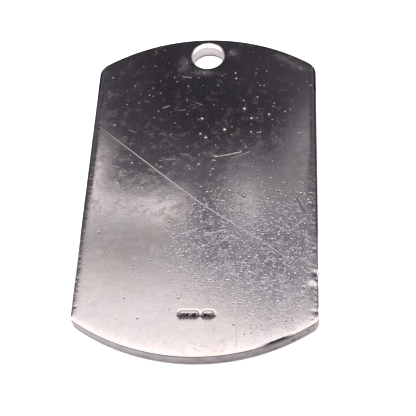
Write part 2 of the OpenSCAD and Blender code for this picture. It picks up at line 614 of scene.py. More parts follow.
@dataclass(frozen=True)
class PitField:
    """Pits in the face, each a copy of one small bowl with a slight lip, spread by a node tree.

    Known pits are rows of x, y and radius. The others lie by chance, mostly small. Oval holds the power,
    the span and the least of a pit's length over its width.
    """

    known: tuple[Triple, ...]
    crowd: float = 2.6
    least: float = 0.045
    greatest: float = 0.14
    depth: float = 0.22
    lip: float = 0.02
    reach: float = 1.35
    sides: int = 8
    rings: int = 3
    cell: float = 0.5
    gap: float = 0.03
    size_power: float = 2.2
    lip_at: Pair = (0.9, 0.2)
    oval: Triple = (3.0, 1.4, 0.8)
    seed: int = 11
    turn_seed: int = 3
    oval_seed: int = 4

    def _tree(self) -> NodeTree:
        """Builds the tree: points on the sheet by the grit map, a bowl on each, realized."""
        sizes = dict.fromkeys(("Crowd", "Least", "Greatest", "Depth", "Lip", "Reach"), "Float")
        t = new_tree("pit_field", "GeometryNodeTree", {
            "Sheet": "Geometry", **sizes, "Seed": "Int", "Finish": "Material"}, {"Bowls": "Geometry"})
        put = t.add("NodeGroupInput").outputs
        size = t.stored(Map.SIZE)
        known = t.add("GeometryNodeSeparateGeometry", {
            "Geometry": put["Sheet"], "Selection": t.math("GREATER_THAN", size, 0.0)}, domain="POINT")
        spots = t.add("GeometryNodeMeshToPoints", {"Mesh": known.outputs[0]})
        strewn = t.add("GeometryNodeDistributePointsOnFaces", {
            "Mesh": put["Sheet"], "Density": t.math("MULTIPLY", t.stored(Map.GRIT), put["Crowd"]),
            "Seed": put["Seed"]}, distribute_method="RANDOM")
        radius = t.sized(t.chance(put["Seed"]), self.size_power, put["Least"], put["Greatest"])
        sized = t.add("GeometryNodeStoreNamedAttribute", {
            "Geometry": strewn.outputs[0], "Name": Map.SIZE.value, "Value": radius},
            data_type="FLOAT", domain="POINT")
        both = t.add("GeometryNodeJoinGeometry")
        for points in (spots, sized):
            t.feed(both.inputs[0], points.outputs[0])
        disc = t.add("GeometryNodeMeshCone", {
            "Vertices": self.sides, "Side Segments": self.rings, "Radius Top": 0.0,
            "Radius Bottom": put["Reach"], "Depth": 0.0}, fill_type="NONE")
        out = t.vector("LENGTH", t.add("GeometryNodeInputPosition").outputs[0])
        hollow = t.ramp(out, 0.0, 1.0, 1.0, 0.0)
        rise = t.math("MULTIPLY", t.math("COMPARE", out, *self.lip_at), put["Lip"])
        drop = t.math("SUBTRACT", rise, t.math("MULTIPLY", hollow, put["Depth"]))
        bowl = t.add("GeometryNodeSetPosition", {"Geometry": disc.outputs[0], "Offset": t.join(z=drop)})
        power, span, least = self.oval
        oval = t.math("MULTIPLY_ADD", t.math("POWER", t.chance(self.oval_seed), power), span, least)
        copies = t.add("GeometryNodeInstanceOnPoints", {
            "Points": both.outputs[0], "Instance": bowl.outputs[0],
            "Rotation": t.join(z=t.chance(self.turn_seed, 2.0 * math.pi)),
            "Scale": t.join(t.math("MULTIPLY", size, oval), size, size)})
        return t.close(copies.outputs[0], put["Finish"])

    def _sheet(self, xy: Array, keep: Array, grit: Array, columns: int) -> Mesh:
        """Makes the coarse sheet that pits are spread on, and the loose points of the known pits."""
        number = np.arange(len(xy)).reshape(-1, columns)
        quads = np.stack([number[:-1, :-1], number[:-1, 1:], number[1:, 1:], number[1:, :-1]], -1)
        quads = quads.reshape(-1, 4)
        quads = quads[keep[quads].all(1)]
        known = np.array(self.known)
        points = np.vstack([xy, known[:, :2]])
        mesh = bpy.data.meshes.new("pit_sheet")
        mesh.from_pydata(np.hstack([points, np.zeros((len(points), 1))]).tolist(), [], quads.tolist())
        paint(mesh, Map.GRIT, np.concatenate([grit, np.zeros(len(known))]))
        paint(mesh, Map.SIZE, np.concatenate([np.zeros(len(xy)), known[:, 2]]))
        return mesh

    def bowls(self, plate: "SilverPlate", finish: Material) -> Array:
        """Spreads the pits.

        Args:
            plate: The plate, for where pits may lie and how thickly.
            finish: The face's material.

        Returns:
            The bowls' points as an array of bowl, point and x, y, z.
        """
        half_w, half_l = plate.outline.half_w, plate.outline.half_l
        spare = 0.01
        gx, gy = np.meshgrid(np.arange(-half_w, half_w + spare, self.cell),
                             np.arange(-half_l, half_l + spare, self.cell))
        xy = np.stack([gx.ravel(), gy.ravel()], 1)
        sheet = linked("pit_sheet", self._sheet(xy, plate.clear(xy, 0.3), plate.grit(xy), gx.shape[1]))
        mesh = run_tree(sheet, self._tree(), {
            "Crowd": self.crowd, "Least": self.least, "Greatest": self.greatest, "Depth": self.depth,
            "Lip": self.lip, "Reach": self.reach, "Seed": self.seed, "Finish": finish})
        points = np.empty(3 * len(mesh.vertices), np.float32)
        mesh.vertices.foreach_get("co", points)
        bpy.data.objects.remove(sheet)
        bowls = points.reshape(-1, self.sides * self.rings + 1, 3).astype(float)
        centre = bowls.mean(1)
        size = np.linalg.norm(bowls - centre[:, None], axis=2).max(1)
        keep = np.ones(len(bowls), bool)
        for k in np.argsort(-size):
            if keep[k]:
                near = np.hypot(*(centre - centre[k])[:, :2].T) < size + size[k] + self.gap
                near[k] = False
                keep &= ~near
        LOG.info("pits: %d spread, %d kept", len(bowls), keep.sum())
        return bowls[keep]


@dataclass(frozen=True)
class EdgeNicks:
    """Small bites along the worn front edges, pushed into the skin by a node tree."""

    spacing: float = 0.25
    crowd: float = 5.0
    least: float = 0.08
    greatest: float = 0.20
    depth: float = 0.17
    size_power: float = 2.0
    seed: int = 4

    def _tree(self) -> NodeTree:
        """Builds the tree: points on the edge by the nick map, and the skin pushed in round each."""
        sizes = dict.fromkeys(("Spacing", "Crowd", "Least", "Greatest", "Depth"), "Float")
        t = new_tree("edge_nicks", "GeometryNodeTree", {
            "Skin": "Geometry", **sizes, "Seed": "Int", "Finish": "Material"}, {"Skin": "Geometry"})
        put = t.add("NodeGroupInput").outputs
        strewn = t.add("GeometryNodeDistributePointsOnFaces", {
            "Mesh": put["Skin"], "Distance Min": put["Spacing"], "Density Max": put["Crowd"],
            "Density Factor": t.stored(Map.NICKS), "Seed": put["Seed"]}, distribute_method="POISSON")
        radius = t.sized(t.chance(put["Seed"]), self.size_power, put["Least"], put["Greatest"])
        sized = t.add("GeometryNodeStoreNamedAttribute", {
            "Geometry": strewn.outputs[0], "Name": Map.SIZE.value, "Value": radius},
            data_type="FLOAT", domain="POINT").outputs[0]
        place = t.add("GeometryNodeInputPosition").outputs[0]
        near = t.add("GeometryNodeSampleNearest", {"Geometry": sized}, domain="POINT").outputs[0]
        spot, reach = (
            t.add("GeometryNodeSampleIndex", {"Geometry": sized, "Index": near, "Value": value},
                  data_type=kind, domain="POINT").outputs[0]
            for value, kind in ((place, "FLOAT_VECTOR"), (t.stored(Map.SIZE), "FLOAT")))
        bite = t.ramp(t.math("DIVIDE", t.vector("DISTANCE", place, spot), reach), 0.0, 1.0, 1.0, 0.0)
        push = t.math("MULTIPLY", t.math("MULTIPLY", bite, reach), put["Depth"])
        offset = t.scaled(t.add("GeometryNodeInputNormal").outputs[0], t.math("MULTIPLY", push, -1.0))
        moved = t.add("GeometryNodeSetPosition", {"Geometry": put["Skin"], "Offset": offset})
        on_face = t.math("LESS_THAN", t.stored(Map.ZONE, "INT"), Zone.FACE.value + 0.5)
        return t.close(moved.outputs[0], put["Finish"], on_face)

    def cut(self, skin: Piece, finish: Material) -> None:
        """Pushes the nicks into the skin's edges and keeps the result as its plain mesh."""
        old = skin.data
        skin.data = run_tree(skin, self._tree(), {
            "Spacing": self.spacing * MM, "Crowd": self.crowd / MM ** 2, "Least": self.least * MM,
            "Greatest": self.greatest * MM, "Depth": self.depth, "Seed": self.seed, "Finish": finish})
        skin.data.name = "silver_plate"
        bpy.data.meshes.remove(old)


@dataclass(frozen=True)
class SilverPlate:
    """The one-piece silver plate, built as a dense skin over the frame's own solid.

    Its maps are products of smooth steps. The numbers in a step are places on the plate, or depths inside
    the outline, in millimetres: where the step begins and where it is full.
    """

    outline: Outline
    hole: RingHole
    marks: tuple[PunchMark, ...]
    dents: tuple[SoftDent, ...]
    scratches: tuple[Scratch, ...]
    knocks: tuple[Knock, ...]
    thickness: float
    front_edge: float = 0.25
    back_edge: float = 0.4
    step: float = 0.2
    back_step: float = 0.8
    rim_step: float = 0.15
    face_inset: float = 0.45
    roll: float = 0.02
    roll_right: float = 0.015
    roll_reach: float = 0.5
    fray: float = 0.05
    fray_reach: float = 0.36
    fray_right: float = 0.22
    base_drop: float = 0.02
    ridges: tuple[Pair, Pair] = ((0.10, 7.0), (0.08, 15.0))
    grit_anywhere: float = 0.004
    grit_above: float = 0.013
    haze_levels: Triple = (0.25, 0.55, 0.3)
    rub_levels: Pair = (0.50, 0.30)
    pit_dirt_and_shade: float = 0.3
    sunk_from: float = 0.6
    overlap: float = 0.2
    scratch_inset: float = 0.05
    nick_band: float = 0.12
    nick_share: float = 0.6
    smudges: tuple[tuple[float, ...], ...] = (
        (1.8, -3.0, 18.6, 0.9, 2.0), (2.2, -0.4, 17.2, 1.7, 0.6), (2.0, 3.4, 20.6, 0.8, 0.9),
        (1.0, -10.2, 18.4, 0.5, 0.9), *((1.6, 9.2 + 0.8 * k, 19.9 - 0.55 * k, 0.8, 0.45) for k in range(5)))

    def clear(self, xy: Array, margin: float) -> Array:
        """Returns which points lie on the open face, away from its edge, hole, marks and scratches."""
        keep = self.outline.depth_inside(xy) > self.face_inset + margin
        keep &= self.hole.distance(xy) > self.hole.radius + self.hole.rim + margin
        for mark in self.marks:
            keep &= mark.outside(xy) > mark.reach + 0.2 * margin
        for scratch in self.scratches:
            keep &= scratch.clear(xy)
        return keep

    def grit(self, xy: Array) -> Array:
        """Returns how thickly pits lie at each point."""
        right = smooth(-2.5, 2.5, xy[:, 0] + 3.0 - 0.06 * (xy[:, 1] + 9.0) ** 2)
        until = -16.5 - 3.0 * smooth(3.0, 8.0, xy[:, 0])
        low = smooth(2.0, -6.0, xy[:, 1]) * smooth(until - 2.0, until + 2.0, xy[:, 1])
        low *= smooth(0.1, 1.0, self.outline.depth_inside(xy))
        upper = blob(xy, 3.5, 9.0, 7.0, 4.5)
        return np.clip(self.grit_anywhere + right * low + self.grit_above * upper, 0.0, 1.0)

    def haze(self, xy: Array) -> Array:
        """Returns how far fine wear and smudges have blurred the polish at each point."""
        right = smooth(-4.0, 5.0, xy[:, 0]) * smooth(9.0, 0.0, xy[:, 1])
        edge = smooth(2.2, 0.4, self.outline.depth_inside(xy))
        smudges = sum(height * blob(xy, *place) for height, *place in self.smudges)
        anywhere, on_right, on_edge = self.haze_levels
        return anywhere + on_right * right + on_edge * edge + smudges

    def oxide(self, xy: Array) -> Array:
        """Returns how dark oxide, dirt and painted shade (at the rim and the marks' edges) make each point.
        """
        depth = self.outline.depth_inside(xy)
        hairs = 0.5 + 0.5 * np.sin(21.0 * xy[:, 0]) * np.sin(31.0 * xy[:, 0] + 1.0)
        solid, fringe = self.rub_levels
        rub = solid * smooth(0.22, 0.08, depth) + fringe * smooth(0.18 + 0.50 * hairs ** 2, 0.12, depth)
        dark = rub * blob(xy, 9.4, -21.1, 1.7, 1.5)
        # Painted shade: a dark band on the rounded rim, standing in for the dark it mirrors, strongest near
        # the hole.
        far_end_shade = 0.5 + 0.5 * smooth(13.0, 17.0, xy[:, 1])
        rim = far_end_shade * smooth(0.40, 0.20, depth) * smooth(-11.0, -6.0, xy[:, 1])
        dark = np.maximum(dark, rim)
        for mark in self.marks:
            dark = np.maximum(dark, mark.oxide(xy))
        for scratch in self.scratches:
            d, share = scratch.nearest(xy)
            dark = np.maximum(dark, scratch.dirty * share * smooth(1.5, 0.7, d / scratch.half_w))
        return dark

    def edge_line(self, points: Array) -> Array:
        """Returns the strength of the thin dark line under the marked end's front edge."""
        below = self.thickness - points[:, 2]
        more = blob(points, 9.3, -21.0, 1.6, 1.5)
        line = smooth(0.15, 0.25, below) * smooth(0.50 + 0.25 * more, 0.40 + 0.15 * more, below)
        near = smooth(-17.5, -18.5, points[:, 1]) * (self.outline.depth_inside(points[:, :2]) < 0.3)
        return line * near * (0.8 + 0.15 * smooth(-12.0, -4.0, points[:, 0]))

    def dirt_and_shade(self, xy: Array) -> Array:
        """Returns the dirt and painted shade in a pit at each point: most towards the marked end."""
        open_field = self.grit(xy) * smooth(-18.0, -15.0, xy[:, 1])
        kept_clean = 0.95 * np.clip(3.0 * open_field, 0.0, 1.0)
        return self.pit_dirt_and_shade * smooth(1.0, -6.0, xy[:, 1]) * (1.0 - kept_clean)

    def relief(self, xy: Array) -> Array:
        """Returns the face's own unevenness: its soft dents, rolled edges and gentle waves."""
        depth = np.maximum(self.outline.depth_inside(xy), 0.0)
        run = xy[:, 1] + 0.4 * xy[:, 0]
        (tall, often), (low, more_often) = self.ridges
        ragged = 1.0 + tall * np.sin(often * run + 2.0 * np.sin(1.9 * run)) + low * np.sin(more_often * run)
        right = smooth(0.0, 4.0, xy[:, 0]) * smooth(-14.0, -10.0, xy[:, 1]) * smooth(7.0, 0.0, xy[:, 1])
        height = -(self.roll + self.roll_right * right) * np.exp(-depth / self.roll_reach)
        frayed = self.fray * smooth(-18.3, -16.6, xy[:, 1]) * smooth(19.0, 17.0, xy[:, 1])
        reach = self.fray_reach + self.fray_right * right
        height -= frayed * np.exp(-((depth / (reach * ragged)) ** 2))
        for dent in self.dents:
            height += dent.lift(xy)
        return height - self.base_drop

    def _lift(self, points: Array) -> Array:
        """Returns points near the front face moved by its relief, less and less down its edges."""
        share = np.clip((points[:, 2] - self.thickness + self.front_edge) / self.front_edge, 0.0, 1.0)
        moved = points.copy()
        moved[:, 2] += share * self.relief(points[:, :2])
        for knock in self.knocks:
            moved = knock.push(moved)
        return moved

    def _rings(self, skin: Skin, section: list[Pair], rings: list[Array]) -> list[Array]:
        """Adds rings at the heights of a section and returns their point numbers."""
        put = []
        for (_, z), ring in zip(section, rings):
            put.append(skin.put(self._lift(np.hstack([ring, np.full((len(ring), 1), z)]))))
        return put

    def _grid(self, step: float, margin: float) -> Array:
        """Lays a grid of equal triangles over the face.

        Args:
            step: Distance between points.
            margin: Least distance from the edge ring and the hole.

        Returns:
            The points, one row of x and y each.
        """
        half_w, half_l = self.outline.half_w, self.outline.half_l
        rows = []
        for k, y in enumerate(np.arange(-half_l, half_l, step * ROW)):
            xs = np.arange(-half_w + (k % 2) * step / 2.0, half_w, step)
            rows.append(np.stack([xs, np.full(len(xs), y)], 1))
        xy = np.vstack(rows)
        keep = self.outline.depth_inside(xy) > self.face_inset + margin
        return xy[keep & (self.hole.distance(xy) > self.hole.radius + self.hole.rim + margin)]

    def _fill(self, skin: Skin, loops: list[Array], loose: Array) -> Array:
        """Fills a cap between the edge ring and the hole's ring.

        Args:
            skin: The skin that it is added to.
            loops: Point numbers of the edge ring and of the hole's ring.
            loose: Points between them, one row of x, y, z and stain each; stains hold painted shade too.

        Returns:
            The triangles as rows of point numbers, counter-clockwise from the front.
        """
        ids = np.concatenate([*loops, skin.put(loose)])
        xy = np.vstack(skin.points)[ids, :2]
        bounds = []
        start = 0
        for loop in loops:
            n = len(loop)
            bounds += [(start + k, start + (k + 1) % n) for k in range(n)]
            start += n
        flat, inside_only, tolerance = [Vector(p) for p in xy], 1, 1e-6
        verts, _, tris, origin, _, _ = delaunay_2d_cdt(flat, bounds, [], inside_only, tolerance)
        first = np.array([o[0] if o else -1 for o in origin])
        if (first < 0).any():
            LOG.warning("%d points of a cap have no source", (first < 0).sum())
        tris = np.array(tris)
        centre = np.array([(v.x, v.y) for v in verts])[tris].mean(1)
        rim = self.hole.distance(xy[len(loops[0]):len(loops[0]) + 1])[0] * math.cos(math.pi / len(loops[1]))
        return ids[first[tris[self.hole.distance(centre) > rim]]]

    def _loose(self) -> Array:
        """Gathers points between the edge and the hole: the open grid, the marks and the scratches."""
        grid = self._grid(self.step, 0.5 * self.step)
        parts = [grid[self.clear(grid, -self.overlap)]]
        for k, mark in enumerate(self.marks):
            xy = mark.points()
            for other in self.marks[:k]:
                xy = xy[other.outside(xy) >= other.reach]
            parts.append(xy)
        for k, scratch in enumerate(self.scratches):
            xy = scratch.points()
            inside = self.outline.depth_inside(xy) > self.face_inset + self.scratch_inset
            for other in self.scratches[:k]:
                inside &= other.clear(xy)
            for mark in self.marks:
                inside &= mark.outside(xy) > mark.reach
            parts.append(xy[inside])
        return np.vstack(parts)

    def _clear_of_pits(self, xy: Array, centre: Array, reach: Array) -> Array:
        """Finds the points that keep off every pit, by way of cells of one square millimetre.

        Args:
            xy: The points.
            centre: The pits' centres.
            reach: The pits' radii.

        Returns:
            A flag for each point.
        """
        widest, gap = 0.6, 0.04
        cells: dict[tuple[int, int], list[int]] = {}
        for k, (x, y) in enumerate(centre):
            for i in range(math.floor(x - widest), math.floor(x + widest) + 1):
                for j in range(math.floor(y - widest), math.floor(y + widest) + 1):
                    cells.setdefault((i, j), []).append(k)
        keep = np.ones(len(xy), bool)
        key = np.floor(xy).astype(int)
        order = np.lexsort((key[:, 1], key[:, 0]))
        split = np.flatnonzero(np.any(np.diff(key[order], axis=0) != 0, axis=1)) + 1
        for group in np.split(order, split):
            near = cells.get(tuple(key[group[0]]), [])
            if near:
                away = np.hypot(*(xy[group, None] - centre[near][None]).transpose(2, 0, 1))
                keep[group] = (away - reach[near] - gap > 0.0).all(1)
        return keep

    def _face_points(self, bowls: Array) -> Array:
        """Returns the front face's inner points with heights, stains and painted shade, the pits' bowls last.
        """
        out = np.linalg.norm(bowls - bowls.mean(1)[:, None], axis=2)
        centre, reach = bowls.mean(1)[:, :2], out.max(1)
        xy = self._loose()
        xy = xy[self._clear_of_pits(xy, centre, reach)]
        points = np.hstack([xy, np.zeros((len(xy), 2))])
        for form in (*self.marks, *self.scratches):
            points[:, 2] += form.lift(xy)
        # Dirt and painted shade in the pits' bowls, darkest at their middles.
        dirt_and_shade = smooth(0.75, 0.4, out / reach[:, None]) * self.dirt_and_shade(centre)[:, None]
        return np.vstack([points, np.hstack([bowls.reshape(-1, 3), dirt_and_shade.reshape(-1, 1)])])

    def _section(self) -> tuple[list[Pair], list[Pair]]:
        """Returns the plate's edge as inset and height pairs: its rounded front, and what is below."""
        t, f, b = self.thickness, self.front_edge, self.back_edge
        front = [(self.face_inset, t), (0.35, t)]
        front += [(f * (1.0 - math.sin(a)), t - f * (1.0 - math.cos(a)))
                  for a in np.radians((0, 16, 32, 48, 64, 90))]
        wall = [(0.0, t - f - drop) for drop in (0.04, 0.18, 0.25)]
        wall += [(0.0, z) for z in np.linspace(t - f, b, 6)[1:-1]]
        wall += [(b * (1.0 - math.cos(a)), b * (1.0 - math.sin(a))) for a in np.radians((0, 30, 60, 90))]
        return front, wall + [(self.face_inset, 0.0)]

    def _bore(self) -> list[Pair]:
        """Returns the hole's wall as radius and height pairs, from the front rim to the back one."""
        t, r, q = self.thickness, self.hole.radius, self.hole.rim
        bore = [(r + q * (1.0 - math.sin(a)), t - q * (1.0 - math.cos(a)))
                for a in np.radians((0, 22, 45, 68, 90))]
        bore += [(r, z) for z in np.linspace(t - q, q, 7)[1:]]
        bore += [(r + q * (1.0 - math.cos(a)), q * (1.0 - math.sin(a))) for a in np.radians((30, 60, 90))]
        return bore

    def build(self, pits: PitField, nicks: EdgeNicks, finishes: dict[Zone, Material]) -> Piece:
        """Builds the plate.

        Args:
            pits: The pits that are stitched into the face.
            nicks: The nicks that are pushed into its edges.
            finishes: The material of each zone.

        Returns:
            The new object, at the origin, in metres, with its materials.
        """
        skin = Skin()
        front_edge, wall = self._section()
        section, bore = front_edge + wall, self._bore()
        rings = self._rings(skin, section, [self.outline.ring(s[0], self.rim_step) for s in section])
        for k, (upper, lower) in enumerate(zip(rings, rings[1:])):
            skin.band(upper, lower, Zone.FACE if k < len(front_edge) - 1 else Zone.WALL)
        circles = self._rings(skin, bore, [self.hole.ring(s[0])[::-1] for s in bore])
        for upper, lower in zip(circles, circles[1:]):
            skin.band(upper, lower, Zone.BORE)
        points = self._face_points(pits.bowls(self, finishes[Zone.FACE]))
        points[:, 2] += self.thickness + self.relief(points[:, :2])
        for knock in self.knocks:
            points[:, :3] = knock.push(points[:, :3])
        front = self._fill(skin, [rings[0], circles[0]], points)
        middle = np.vstack(skin.points)[front][:, :, :2].mean(1)
        sunk = np.zeros(len(front), bool)
        for mark in self.marks:
            sunk |= mark.oxide(middle) > self.sunk_from
        skin.patch(front[~sunk], Zone.FACE)
        skin.patch(front[sunk], Zone.MARK)
        grid = self._grid(self.back_step, 0.5 * self.back_step)
        back = self._fill(skin, [rings[-1], circles[-1]], np.hstack([grid, np.zeros((len(grid), 1))]))
        skin.patch(back[:, ::-1], Zone.BACK)
        obj = linked("silver_plate", self._mesh(skin))
        for zone in Zone:
            obj.data.materials.append(finishes[zone])
        nicks.cut(obj, finishes[Zone.FACE])
        return obj

    def _mesh(self, skin: Skin) -> Mesh:
        """Turns the finished skin into a mesh in metres, with its maps."""
        points, stains, faces, zones = skin.finish()
        mesh = bpy.data.meshes.new("silver_skin")
        mesh.from_pydata((points * MM).tolist(), [], faces)
        mesh.polygons.foreach_set("material_index", zones)
        mesh.attributes.new(Map.ZONE.value, "INT", "FACE").data.foreach_set("value", zones)
        mesh.polygons.foreach_set("use_smooth", [True] * len(faces))
        xy = points[:, :2]
        depth = self.outline.depth_inside(xy)
        groove = np.zeros(len(xy))
        for scratch in self.scratches:
            d, share = scratch.nearest(xy)
            groove = np.maximum(groove, (share - scratch.dirty) * smooth(1.6, 0.8, d / scratch.half_w))
        top = smooth(self.thickness - 0.6, self.thickness - 0.3, points[:, 2])
        paint(mesh, Map.HAZE, self.haze(xy))
        paint(mesh, Map.GRIT, self.grit(xy))
        paint(mesh, Map.GROOVE, groove * top)
        # The oxide map takes oxide and dirt, the dark edge line, and painted shade in the pits and along the
        # rim.
        stains = np.maximum(stains, self.edge_line(points))
        paint(mesh, Map.OXIDE_AND_SHADE, np.maximum(stains, top * self.oxide(xy)))
        paint(mesh, Map.RIM, top * smooth(0.6, 0.05, depth))
        sides = smooth(9.0, 2.0, xy[:, 1]) * (np.abs(xy[:, 0]) > self.outline.half_w - 0.5)
        band = np.abs(points[:, 2] - self.thickness + self.nick_band) < self.nick_band
        edge = band * (depth < self.face_inset + 0.01)
        paint(mesh, Map.NICKS, edge * sides * np.where(xy[:, 0] < 0.0, 1.0, self.nick_share))
        mesh.update()
        return mesh


@dataclass(frozen=True)
class Camera:
    """The photograph's viewpoint."""

    position: Triple = (11.32, -74.41, 110.00)
    target: Triple = (0.785, -2.112, 0.0)
    roll_deg: float = 2.92
    lens: float = 94.19
    sensor: float = 36.0

    def build(self) -> None:
        """Makes the camera and points it."""
        data = bpy.data.cameras.new("photo_camera")
        data.lens = self.lens
        data.sensor_width = self.sensor
        data.clip_start = 0.001
        cam = bpy.data.objects.new("photo_camera", data)
        place = Vector(self.position) * MM
        ahead = (Vector(self.target) * MM - place).normalized()
        right = ahead.cross(Vector((0.0, 1.0, 0.0))).normalized()
        up = right.cross(ahead)
        turn = math.radians(self.roll_deg)
        right, up = math.cos(turn) * right + math.sin(turn) * up, math.cos(turn) * up - math.sin(turn) * right
        matrix = Matrix((right, up, -ahead)).transposed().to_4x4()
        matrix.translation = place
        cam.matrix_world = matrix
        bpy.context.scene.collection.objects.link(cam)
        bpy.context.scene.camera = cam


class Effects:
    """The shader groups that several finishes share."""

    def __init__(self) -> None:
        """Builds each group once."""
        self.specks = self._specks()
        self.grain = self._grain()
        self.tarnish = self._tarnish()

    def _specks(self) -> bpy.types.NodeTree:
        """Builds the group for small hollows: round ones, or hairlines where its cells are long."""
        t = new_tree("specks", "ShaderNodeTree",
                     {"Place": "Vector", "Cell": "Vector", "Turn": "Float", "Fill": "Float",
                      "Least": "Float", "Greatest": "Float"}, {"Height": "Float"})
        put = t.add("NodeGroupInput").outputs
        turned = t.add("ShaderNodeVectorRotate", {"Vector": put["Place"], "Angle": put["Turn"]},
                       rotation_type="Z_AXIS").outputs[0]
        scaled = t.vector("DIVIDE", turned, put["Cell"])
        cell = t.add("ShaderNodeTexVoronoi", {"Vector": scaled, "Scale": 1.0}, voronoi_dimensions="2D")
        chance = t.add("ShaderNodeSeparateColor", {0: cell.outputs["Color"]}).outputs
        radius = t.sized(chance[0], 2.0, put["Least"], put["Greatest"])
        hollow = t.ramp(t.math("DIVIDE", cell.outputs["Distance"], radius), 0.0, 1.0, 1.0, 0.0)
        filled = t.math("MULTIPLY", hollow, t.math("LESS_THAN", chance[1], put["Fill"]))
        height = t.math("MULTIPLY", filled, t.math("MULTIPLY", radius, -1.0))
        t.add("NodeGroupOutput", {"Height": height})
        return t.tree

    def _grain(self) -> bpy.types.NodeTree:
        """Builds the group for fine unevenness, drawn out where its cells are long."""
        t = new_tree("grain", "ShaderNodeTree",
                     {"Place": "Vector", "Cell": "Vector", "Detail": "Float"}, {"Height": "Float"})
        put = t.add("NodeGroupInput").outputs
        scaled = t.vector("DIVIDE", put["Place"], put["Cell"])
        noise = t.add("ShaderNodeTexNoise", {
            "Vector": scaled, "Scale": 1.0, "Detail": put["Detail"], "Roughness": 0.6})
        t.add("NodeGroupOutput", {"Height": t.math("SUBTRACT", noise.outputs[0], 0.5)})
        return t.tree

    def _tarnish(self) -> bpy.types.NodeTree:
        """Builds the group for cloudy patches of oxide."""
        t = new_tree("tarnish", "ShaderNodeTree",
                     {"Place": "Vector", "Size": "Float", "Low": "Float", "High": "Float"}, {"Mask": "Float"})
        put = t.add("NodeGroupInput").outputs
        noise = t.add("ShaderNodeTexNoise", {
            "Vector": put["Place"], "Scale": t.math("DIVIDE", 1.0, put["Size"]), "Detail": 5.0,
            "Roughness": 0.65, "Distortion": 0.4})
        t.add("NodeGroupOutput", {"Mask": t.ramp(noise.outputs[0], put["Low"], put["High"])})
        return t.tree


class MetalTree(NodeTree):
    """The tree of a new metal material, with the shared effects at hand. It works in millimetres."""

    def __init__(self, name: str, effects: Effects) -> None:
        """Makes the material and notes the place on the plate."""
        self.material = bpy.data.materials.new(name)
        self.material.use_nodes = True
        super().__init__(self.material.node_tree)
        self.effects = effects
        self.shader = self.tree.nodes["Principled BSDF"]
        self.shader.inputs["Metallic"].default_value = 1.0
        self.place = self.scaled(self.add("ShaderNodeTexCoord").outputs["Object"], 1.0 / MM)

    def map(self, name: Map) -> Socket:
        """Returns one of the maps stored on the skin."""
        return self.add("ShaderNodeAttribute", attribute_name=name.value).outputs["Fac"]

    def specks(self, cell: Pair, turn: float, fill: object, size: Pair, place: object = None) -> Socket:
        """Places small hollows.

        Args:
            cell: The length and width of the cells that hold one each. Long ones make hairlines.
            turn: The angle that the cells are turned by.
            fill: The share of cells that are filled.
            size: The least and greatest radius, in cells.
            place: Where they are read, if not at the plain place.

        Returns:
            Their height.
        """
        return self.group(self.effects.specks, {
            "Place": place or self.place, "Cell": (*cell, 1.0), "Turn": turn, "Fill": fill,
            "Least": size[0], "Greatest": size[1]}, "Height")

    def grain(self, cell: Triple, detail: float) -> Socket:
        """Returns the height of fine unevenness."""
        return self.group(self.effects.grain, {
            "Place": self.place, "Cell": cell, "Detail": detail}, "Height")

    def cloud(self, size: float, low: float, high: float) -> Socket:
        """Returns how strongly cloudy patches of a size cover each point."""
        return self.group(self.effects.tarnish, {
            "Place": self.place, "Size": size, "Low": low, "High": high}, "Mask")

    def finish(self, colour: Socket, roughness: Socket, height: Socket) -> Material:
        """Joins colour, roughness and height to the shader and returns the material."""
        bump = self.add("ShaderNodeBump", {"Strength": 1.0, "Distance": MM, "Height": height})
        for label, value in (("Base Color", colour), ("Roughness", roughness), ("Normal", bump.outputs[0])):
            self.feed(self.shader.inputs[label], value)
        return self.material


@dataclass(frozen=True)
class Finish:
    """What the plate's finishes have in common: a name, the metal's colour and that of its stains."""

    effects: Effects
    name: str
    metal: Colour
    stain: Colour


